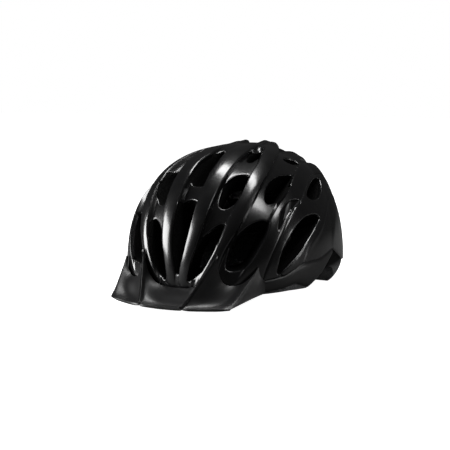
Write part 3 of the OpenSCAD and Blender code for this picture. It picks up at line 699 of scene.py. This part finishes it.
GLOSS = plastic(
    "gloss_shell", dark=(0.003, 0.003, 0.0032), light=(0.005, 0.005, 0.0053), rough=(0.21, 0.27),
    grain=1400, grain_depth=0.00002, coat=0.35, coat_rough=0.12)
SATIN = plastic(
    "satin_shell", dark=(0.004, 0.004, 0.0042), light=(0.007, 0.007, 0.0073), rough=(0.34, 0.42),
    grain=1500, grain_depth=0.00006)
INSERT = plastic(
    "emblem_insert", dark=(0.02, 0.02, 0.021), light=(0.035, 0.035, 0.036), rough=(0.3, 0.38),
    grain=900, grain_depth=0.00003)
HARDWARE = plastic(
    "hardware_plastic", dark=(0.008, 0.008, 0.009), light=(0.016, 0.016, 0.017), rough=(0.36, 0.5),
    grain=1100, grain_depth=0.00006)
CRADLE = plastic(
    "cradle_plastic", dark=(0.012, 0.012, 0.013), light=(0.024, 0.024, 0.026), rough=(0.42, 0.56),
    grain=800, grain_depth=0.00008)
FOAM = bead_foam()
PAD = weave("pad_fabric", dark=(0.006, 0.006, 0.007), light=(0.028, 0.028, 0.03), scale=420)
WEBBING = weave(
    "webbing_weave", dark=(0.006, 0.006, 0.007), light=(0.035, 0.035, 0.037), scale=300, sheen=0.15)
ELASTIC = rubber("grommet_elastic")
RUBBER = rubber("grip_rubber")
HOOKS = hook_tape()
STEEL = metal()


# ---- shells -----------------------------------------------------------------------------------
SHELL_ROLL = 1.5
SHELL_FLANGE = 3.0
RIM_GAP = 0.9
EMBLEM_GAP = 0.5
BAND_TO_REAR_Y = 12


def shell_rows():
    """Angles of the grid's rows, closest where the lip drops."""
    crown = np.arange(LIP_END - 1, LIP_END + LIP_LENGTH + 1, 0.35)
    front = np.arange(-14, crown[0] - 0.6, 1.15)
    back = np.arange(crown[-1] + 0.8, 197, 1.3)
    return np.concatenate([front, crown, back])


def shell_rim(y):
    """Height of the upper shell's lower edge."""
    return np.where(y < BAND_TO_REAR_Y, smooth_line(BAND_LINE, y), smooth_line(REAR_LINE, y))


def in_relief(v, w, depth, inset=0):
    """Dome points moved inwards by the depth of the relief, from a dome that is itself inset."""
    start = dome(v, w, inset)
    return start + (dome(v, w, inset + RELIEF_SPAN) - start) * (depth / RELIEF_SPAN)[..., None]


def build_upper_shell():
    """The gloss shell with its vents, its emblem openings and their rolled rims."""
    v, w, depth = whole_grid(shell_rows())
    plain = dome(v, w)
    field = plain[..., 2] - shell_rim(plain[..., 1]) - RIM_GAP
    for curve in whole_outlines():
        field = np.minimum(field, outline_distance(curve, v, w, plain) - SHELL_ROLL)
    emblem = closed_curve(EMBLEM)
    for curve in (emblem, emblem * [1, -1]):
        field = np.minimum(field, outline_distance(curve, v, w, plain) - EMBLEM_GAP)
    points, faces = clip_grid(in_relief(v, w, depth), field)
    points, faces = moulded_shell(points, faces, WALL, SHELL_ROLL, SHELL_FLANGE)
    shell = make_object("upper_shell_moulding", points, faces, GLOSS, 42)
    return install(shell, "helmet", "gloss_shell", "upper_shell")


BAND_END_ANGLE = 92.6
BAND_SEAM = 0.3
BAND_LEAST_HEIGHT = 1.5
BAND_SWELL = 0.5
BAND_EDGE_FALL = 1.7
BAND_INNER = 1.6


def build_lower_band():
    """The satin band round the brow and temples."""
    angles = np.linspace(-BAND_END_ANGLE, BAND_END_ANGLE, 241)
    y = level_point(angles, np.full(len(angles), EQUATOR), 0)[:, 1]
    top = smooth_line(BAND_LINE, y) - BAND_SEAM
    bottom = np.minimum(straight_line(BAND_RIM, y), top - BAND_LEAST_HEIGHT)
    t = np.linspace(0, 1, 15)
    swell = BAND_SWELL - BAND_EDGE_FALL * np.abs(2 * t - 1) ** 7
    outer = [level_point(angles, top + (bottom - top) * f, -s) for f, s in zip(t, swell)]
    inner = [level_point(angles, top + (bottom - top) * f, BAND_INNER) for f in t[::-1]]
    sections = np.array(outer + inner).transpose(1, 0, 2)
    points, faces = loft(sections)
    band = make_object("lower_band", points, faces, SATIN, 50)
    return install(band, "helmet", "satin_shell", "lower_shell")


def visor_facet(top, lip, hollow, start):
    """A facet between two ridges, whose columns count from start to 1 and are deepest at 0."""
    top, lip = open_curve(top, VISOR_STEPS), open_curve(lip, VISOR_STEPS)
    x, z = top[:, 0], top[:, 1]
    edge = np.stack([x, dome_y(x, z, VISOR_WALL + VISOR_TOP_GAP), z], 1)
    back = lip[:, 1]
    lip_z = VISOR_LIP_Z + VISOR_WALL + VISOR_LIP_SLOPE * np.maximum(back - VISOR_LIP_LEVEL, 0)
    against_dome = dome_y(lip[:, 0], lip_z, VISOR_WALL + VISOR_LIP_GAP)
    tip = np.stack([lip[:, 0], np.minimum(back - FRONT - VISOR_REACH, against_dome), lip_z], 1)
    f = VISOR_DOWN[None, :, None]
    sheet = edge[:, None] * (1 - f) + tip[:, None] * f
    f = VISOR_DOWN[None]
    share = 1 - np.linspace(start, 1, len(sheet))[:, None] ** 2
    dip = hollow * share * np.sin(np.pi * (f * 0.5 + 0.12)) ** 2 * f * (1 - f ** 3)
    return sheet + dip[..., None] * VISOR_DIP


def soften_ridges(sheet):
    """Rounds the ridges that run down the sheet, but not at its top edge and lip."""
    soft = sheet.copy()
    for _ in range(RIDGE_PASSES):
        soft[1:-1] = 0.5 * soft[1:-1] + 0.25 * (soft[2:] + soft[:-2])
    share = np.clip(6 * VISOR_DOWN * (1 - VISOR_DOWN), 0, 1)[None, :, None]
    return sheet * (1 - share) + soft * share


def build_visor():
    """The visor plate: a wide middle facet and two more on each side."""
    facets = [visor_facet(*facet) for facet in zip(VISOR_TOP, VISOR_LIP, VISOR_HOLLOW, (0, -1, -1))]
    half = np.vstack([facets[0]] + [facet[1:] for facet in facets[1:]])
    sheet = np.vstack([half[:0:-1] * [-1, 1, 1], half])
    points, faces = loft(thick_sheet(soften_ridges(sheet), VISOR_WALL))
    visor = make_object("visor_plate", points, faces, SATIN, 48)
    return install(visor, "visor", "satin_shell", "visor")


def wedge_mesh(points):
    """A solid under a grid whose first and last columns meet at the ears."""
    rows, columns = points.shape[:2]
    skin = points[:, 1:-1].reshape(-1, 3)
    m = columns - 2
    poles = [points[0, 0], points[0, -1]]
    a, b = len(skin), len(skin) + 1
    faces = []
    for i in range(rows - 1):
        faces += [(i * m + j, i * m + j + 1, (i + 1) * m + j + 1, (i + 1) * m + j) for j in range(m - 1)]
        faces += [(a, i * m, (i + 1) * m), (i * m + m - 1, b, (i + 1) * m + m - 1)]
    faces.append(tuple([b] + list(range(m - 1, -1, -1)) + [a]))
    faces.append(tuple([a] + [(rows - 1) * m + j for j in range(m)] + [b]))
    return np.vstack([skin, poles]), faces


def cut_away(obj, cutters):
    """Takes cutters out of a solid and deletes them."""
    for cutter in cutters:
        modifier = obj.modifiers.new("cut", "BOOLEAN")
        modifier.operation = "DIFFERENCE"
        modifier.solver = "MANIFOLD"
        modifier.object = cutter
    apply_modifiers(obj)
    for cutter in cutters:
        bpy.data.objects.remove(cutter)


def apply_modifiers(obj):
    depsgraph = bpy.context.evaluated_depsgraph_get()
    mesh = bpy.data.meshes.new_from_object(obj.evaluated_get(depsgraph), depsgraph=depsgraph)
    obj.modifiers.clear()
    obj.data = mesh


# Insets of the plugs' layers, and how they narrow inwards
PLUG_DEPTH = [-9, 8, 24, 42]
PLUG_TAPER = [1, 1, 0.88, 0.78]
PLUG_GROWTH = 0.25
FOAM_GAP = 0.35
FOAM_DENSITY = 0.6


def outline_plug(curve):
    """A plug through the foam along an outline, grown by a fraction of a degree."""
    along = np.roll(curve, -1, 0) - np.roll(curve, 1, 0)
    area = np.sum(curve[:, 0] * np.roll(curve[:, 1], -1) - np.roll(curve[:, 0], -1) * curve[:, 1])
    out = np.stack([along[:, 1], -along[:, 0]], 1) * np.sign(area)
    curve = curve + PLUG_GROWTH * unit(out)
    if area < 0:
        curve = curve[::-1]
    middle = curve.mean(0)
    layers = [middle + (curve - middle) * taper for taper in PLUG_TAPER]
    return loft([dome(p[:, 0], p[:, 1], inset) for p, inset in zip(layers, PLUG_DEPTH)])


def foam_rows():
    """Angles of the foam's rows, closest where the lip drops."""
    return np.concatenate([
        np.arange(-46, -10, 6.0), np.arange(-10, LIP_END - 2, 2.5),
        np.arange(LIP_END - 1.5, 114, 0.7), np.arange(115, 228, 3.0)])


def head_cavity():
    """The space inside the foam."""
    v, w = np.meshgrid(np.arange(-52, 234, 4.0), np.linspace(-EAR, EAR, 61), indexing="ij")
    return wedge_mesh(dome(v, w, LINER))


def space_below():
    """All that lies below the foam's rim."""
    y = np.arange(-175, 180, 2.0)
    outline = list(zip(y, straight_line(FOAM_RIM, y))) + [(y[-1], -80), (y[0], -80)]
    return loft([[(x, p, q) for p, q in outline] for x in (-170, 170)])


def build_foam():
    """The foam under the shell, hollowed for the head and cut through at each vent."""
    v, w, depth = whole_grid(foam_rows(), FOAM_DENSITY)
    foam = make_object("bead_foam_liner", *wedge_mesh(in_relief(v, w, depth, WALL + FOAM_GAP)), FOAM)
    cutters = [make_object("cavity", *head_cavity(), FOAM), make_object("under", *space_below(), FOAM)]
    for k, curve in enumerate(whole_outlines()):
        cutters.append(make_object(f"plug_{k}", *outline_plug(curve), FOAM))
    for obj in cutters + [foam]:
        face_outwards(obj)
    cut_away(foam, cutters)
    smooth(foam, 38)
    return install(foam, "helmet", "foam", "foam_liner")


def face_outwards(obj):
    """Turns every face's front to the outside."""
    bm = bmesh.new()
    bm.from_mesh(obj.data)
    bmesh.ops.recalc_face_normals(bm, faces=bm.faces)
    bm.to_mesh(obj.data)
    bm.free()


# An insert's size in its recess along v and w, its depths, and its ridge, a slanted line through its middle
INSERT_FIT = [0.965, 0.8]
INSERT_FACE = 1.5
INSERT_BACK = 3.2
INSERT_RIDGE = 1.1
INSERT_FALL = 0.11
INSERT_SLANT = 7


def insert_layers(side):
    """Rings of an insert from its back over its face to its middle."""
    curve = closed_curve(EMBLEM, 10)
    middle = curve.mean(0)
    curve = middle + (curve - middle) * INSERT_FIT
    layers = [dome(curve[:, 0], side * curve[:, 1], INSERT_BACK)]
    for r in np.linspace(1, 0, 7):
        p = middle + (curve - middle) * r
        from_ridge = np.abs((p[:, 1] - middle[1]) * INSERT_SLANT + (p[:, 0] - middle[0]))
        ridge = np.maximum(0, INSERT_RIDGE - INSERT_FALL * from_ridge) * (1 - r ** 4)
        layers.append(dome(p[:, 0], side * p[:, 1], INSERT_FACE - ridge))
    return layers


def build_emblems():
    """Two-facet inserts in the recess on each side."""
    (left, left_faces), (right, right_faces) = [loft(insert_layers(side)) for side in (1, -1)]
    points = np.vstack([left, right])
    faces = left_faces + [tuple(k + len(left) for k in f) for f in right_faces]
    obj = make_object("emblem_inserts", points, faces, INSERT, 25)
    face_outwards(obj)
    return install(obj, "helmet", "emblem", "emblem_plates")


# ---- straps -----------------------------------------------------------------------------------
WEBBING_W = 16.0
WEBBING_T = 1.4

# The left strap divider's middle, and its directions up its face and out of it
DIVIDER = np.array([62.0, 0.0, 76.0])
TILT = math.radians(22)
UP = np.array([-math.sin(TILT), 0, math.cos(TILT)])
OUT = np.array([math.cos(TILT), 0, math.sin(TILT)])

# Where the side straps meet their anchors, how far from the middle they leave the divider, and their path:
# [across, up, part of the way to the anchor's y, the across and up parts of the direction out of the webbing]
LEG_Y = {"front": -26.0, "rear": 30.0}
LEG_SPREAD = 8.8
LEG_PATH = [
    [70.2, 54, 0.35, 0.99, 0.14], [71.3, 45.5, 0.75, 1, 0], [71.5, 40.6, 1, 0.9, 0.43],
    [72.9, 38.3, 1, 0.38, 0.92], [74, 38, 1, 0, 1], [78.5, 38, 1, 0, 1]]

# How far from the divider's middle the straps start, and how far down the side straps stay in its plane
DIVIDER_REACH = 6
LEG_STRAIGHT = 13

# The radius over which the chin straps turn, and how far from the centre plane each ends
CHIN_TURN = 12.0
CHIN_END = {"left": 21.0, "right": 18.6}
BUCKLE_Z = 96.0


def webbing_profile():
    """Points [across, out] round the webbing, with rounded edges and faint ribs."""
    half, thick = WEBBING_W / 2, WEBBING_T / 2
    profile = [(-half, 0), (-half + 0.4, thick * 0.8), (-half + 1.2, thick)]
    profile += [(q, thick * (0.94 + 0.06 * math.cos(q * 3))) for q in np.linspace(-5.5, 5.5, 9)]
    profile += [(half - 1.2, thick), (half - 0.4, thick * 0.8), (half, 0)]
    return profile + [(q, -t) for q, t in profile[-2:0:-1]]


def strap(name, node, stations, side):
    """Webbing through stations [centre, thickness direction], mirrored where side is -1."""
    centres = open_curve3([s[0] for s in stations], 6)
    outs = unit(open_curve3([s[1] for s in stations], 6))
    profile = webbing_profile()
    sections = [[c + np.array([0, q, 0]) + o * t for q, t in profile] for c, o in zip(centres, outs)]
    points, faces = loft(np.array(sections) * [side, 1, 1])
    obj = make_object(name, points, faces, WEBBING, 50)
    face_outwards(obj)
    return install(obj, "helmet", "webbing", node)


def open_curve3(points, steps):
    """A smooth curve through points in space."""
    p = np.array(points, float)
    t = np.linspace(0, len(p) - 1, (len(p) - 1) * steps + 1)
    k = np.arange(len(p))
    return np.stack([smooth_line(np.stack([k, p[:, c]], 1), t) for c in range(3)], 1)


def leg_stations(y):
    """A side strap from the divider down to its anchor at y, turned outwards at its foot."""
    start = math.copysign(LEG_SPREAD, y)
    top = DIVIDER + [0, start, 0]
    path = [[[x, start + (y - start) * part, z], [out_x, 0, out_z]] for x, z, part, out_x, out_z in LEG_PATH]
    return [[top - DIVIDER_REACH * UP, OUT], [top - LEG_STRAIGHT * UP, OUT]] + path


def chin_stations(end):
    """A chin strap from the divider up, round a turn and across to the buckle's end."""
    lift = math.pi / 2 - TILT
    top = DIVIDER + DIVIDER_REACH * UP
    start = top + (BUCKLE_Z - CHIN_TURN * (1 - math.cos(lift)) - top[2]) / UP[2] * UP
    hub = start - CHIN_TURN * OUT
    bends = [np.array([math.cos(a), 0, math.sin(a)]) for a in np.linspace(TILT, math.pi / 2, 7)]
    across = [[end, 0, BUCKLE_Z], [0, 0, 1]]
    return [[top, OUT]] + [[hub + CHIN_TURN * n, n] for n in bends] + [across]


def build_straps():
    for side, word in ((1, "left"), (-1, "right")):
        for leg, y in LEG_Y.items():
            strap(f"{leg}_webbing_{word}", f"{leg}_strap_{word}", leg_stations(y), side)
    for side, word in ((1, "left"), (-1, "right")):
        strap(f"chin_webbing_{word}", f"chin_strap_{word}", chin_stations(CHIN_END[word]), side)


# ---- pads -------------------------------------------------------------------------------------
HELMET_PADS = ["brow_pad", "crown_pad", "side_pad_left", "side_pad_right", "rear_pad_left", "rear_pad_right"]
CLOTH_STEPS = 20


def copy_node(name, node, material):
    """A new piece with the mesh of a CAD node."""
    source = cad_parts[node]
    obj = bpy.data.objects.new(name, source.data.copy())
    bpy.context.scene.collection.objects.link(obj)
    obj.data.materials.clear()
    obj.data.materials.append(material)
    return obj


def swell(obj, voxel, pressure, cap):
    """Fills a pad like a cushion by cloth simulation, moving no point further than cap."""
    remesh = obj.modifiers.new("remesh", "REMESH")
    remesh.mode = "VOXEL"
    remesh.voxel_size = voxel
    apply_modifiers(obj)
    rest = read_points(obj)
    cloth = obj.modifiers.new("cloth", "CLOTH")
    cloth.settings.use_pressure = True
    cloth.settings.uniform_pressure_force = pressure
    cloth.settings.effector_weights.gravity = 0
    scene = bpy.context.scene
    for step in range(CLOTH_STEPS):
        scene.frame_set(step + 1)
    apply_modifiers(obj)
    scene.frame_set(1)
    moved = read_points(obj) - rest
    size = np.linalg.norm(moved, axis=1, keepdims=True)
    moved *= np.minimum(1, cap / np.maximum(size, 1e-9))
    obj.data.vertices.foreach_set("co", (rest + moved).ravel())
    soften = obj.modifiers.new("soften", "SMOOTH")
    soften.iterations = 4
    rounder = obj.modifiers.new("rounder", "SUBSURF")
    rounder.levels = rounder.render_levels = 1
    apply_modifiers(obj)
    smooth(obj, 60)


def read_points(obj):
    co = np.zeros(len(obj.data.vertices) * 3)
    obj.data.vertices.foreach_get("co", co)
    return co.reshape(-1, 3)


def build_pads():
    for node in HELMET_PADS:
        pad = copy_node(node + "_cushion", node, PAD)
        swell(pad, voxel=0.003, pressure=4.0, cap=0.0012)
        install(pad, "helmet", "pad_fabric", node)
    pads = copy_node("cradle_cushions", "cradle_pads", PAD)
    swell(pads, voxel=0.0016, pressure=3.0, cap=0.0004)
    install(pads, "cradle", "pad_fabric", "cradle_pads")


# ---- carried-over CAD nodes -------------------------------------------------------------------
FINISHES = {
    "hook_discs": HOOKS, "strap_anchors": HARDWARE, "strap_keeper": RUBBER, "divider_left": HARDWARE,
    "divider_right": HARDWARE, "cam_lever_left": CRADLE, "cam_lever_right": CRADLE, "buckle_socket": HARDWARE,
    "buckle_plug": HARDWARE, "buckle_prong_front": HARDWARE, "buckle_prong_rear": HARDWARE,
    "temple_sockets": HARDWARE, "height_rail": CRADLE, "cradle": CRADLE, "dial_housing": CRADLE,
    "housing_screws": STEEL, "belt_left": CRADLE, "belt_right": CRADLE, "pinion_shaft": HARDWARE,
    "dial_knob": HARDWARE, "dial_grip": RUBBER, "detent_washer": STEEL, "visor_grommets": ELASTIC}


def finish_nodes():
    """Gives the CAD nodes that stay their materials."""
    for name, material in FINISHES.items():
        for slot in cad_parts[name].material_slots:
            slot.material = material


# ---- stage ------------------------------------------------------------------------------------
CAMERA_AT = (0.42387, -0.88076, 0.20210)
LOOK_AT = (0.0, -0.010, 0.063)
LENS = 74.6
SIDE_SHIFT = -0.0193
FLOOR_REACH = 6.0
FLOOR_Z = -0.0004
WORLD_GLOW = 0.03


def aim(obj, target):
    obj.rotation_euler = (Vector(target) - obj.location).to_track_quat("-Z", "Y").to_euler()


def area_light(name, location, size, power_w):
    """A rectangular light aimed at the helmet."""
    data = bpy.data.lights.new(name, "AREA")
    data.shape = "RECTANGLE"
    data.size, data.size_y = size
    data.energy = power_w
    obj = bpy.data.objects.new(name, data)
    obj.location = location
    bpy.context.scene.collection.objects.link(obj)
    aim(obj, LOOK_AT)


def white_to_camera(tree, dim, bright):
    """Bright where the camera looks straight at it, dim in reflections."""
    path = tree.nodes.new("ShaderNodeLightPath")
    node = tree.nodes.new("ShaderNodeMapRange")
    node.inputs["To Min"].default_value = dim
    node.inputs["To Max"].default_value = bright
    link(tree, path.outputs["Is Camera Ray"], node.inputs["Value"])
    return node.outputs["Result"]


def build_world():
    scene = bpy.context.scene
    scene.view_settings.view_transform = "Standard"
    world = bpy.data.worlds.new("studio")
    scene.world = world
    world.use_nodes = True
    tree = world.node_tree
    background = tree.nodes["Background"]
    background.inputs["Color"].default_value = (1, 1, 1, 1)
    link(tree, white_to_camera(tree, WORLD_GLOW, 1.0), background.inputs["Strength"])


def build_floor():
    mesh = bpy.data.meshes.new("floor")
    r, z = FLOOR_REACH, FLOOR_Z
    mesh.from_pydata([(-r, -r, z), (r, -r, z), (r, r, z), (-r, r, z)], [], [(0, 1, 2, 3)])
    floor = bpy.data.objects.new("floor", mesh)
    bpy.context.scene.collection.objects.link(floor)
    material, tree, shader = new_material("pale_floor")
    base_colour(tree, shader, white_to_camera(tree, 0.0, 1.0), (0.12, 0.12, 0.12), (0.8, 0.8, 0.8))
    shader.inputs["Roughness"].default_value = 0.9
    shader.inputs["Emission Color"].default_value = (1, 1, 1, 1)
    link(tree, white_to_camera(tree, 0.0, 1.0), shader.inputs["Emission Strength"])
    mesh.materials.append(material)


def build_lights():
    area_light("top_strip", (0.08, 0.28, 1.43), size=(1.05, 0.34), power_w=16)
    area_light("front_softbox", (-0.95, -0.82, 0.45), size=(0.9, 0.6), power_w=26)
    area_light("side_strip", (1.08, 0.20, 0.93), size=(0.3, 0.3), power_w=3.6)
    area_light("back_fill", (1.3, 0.55, 0.2), size=(0.3, 0.3), power_w=1.4)


def build_camera():
    data = bpy.data.cameras.new("camera")
    data.lens = LENS
    data.sensor_width = 36
    data.shift_x = SIDE_SHIFT
    camera = bpy.data.objects.new("camera", data)
    camera.location = CAMERA_AT
    bpy.context.scene.collection.objects.link(camera)
    aim(camera, LOOK_AT)
    bpy.context.scene.camera = camera


build_upper_shell()
build_lower_band()
build_visor()
build_foam()
build_emblems()
build_straps()
build_pads()
finish_nodes()
build_world()
build_floor()
build_lights()
build_camera()
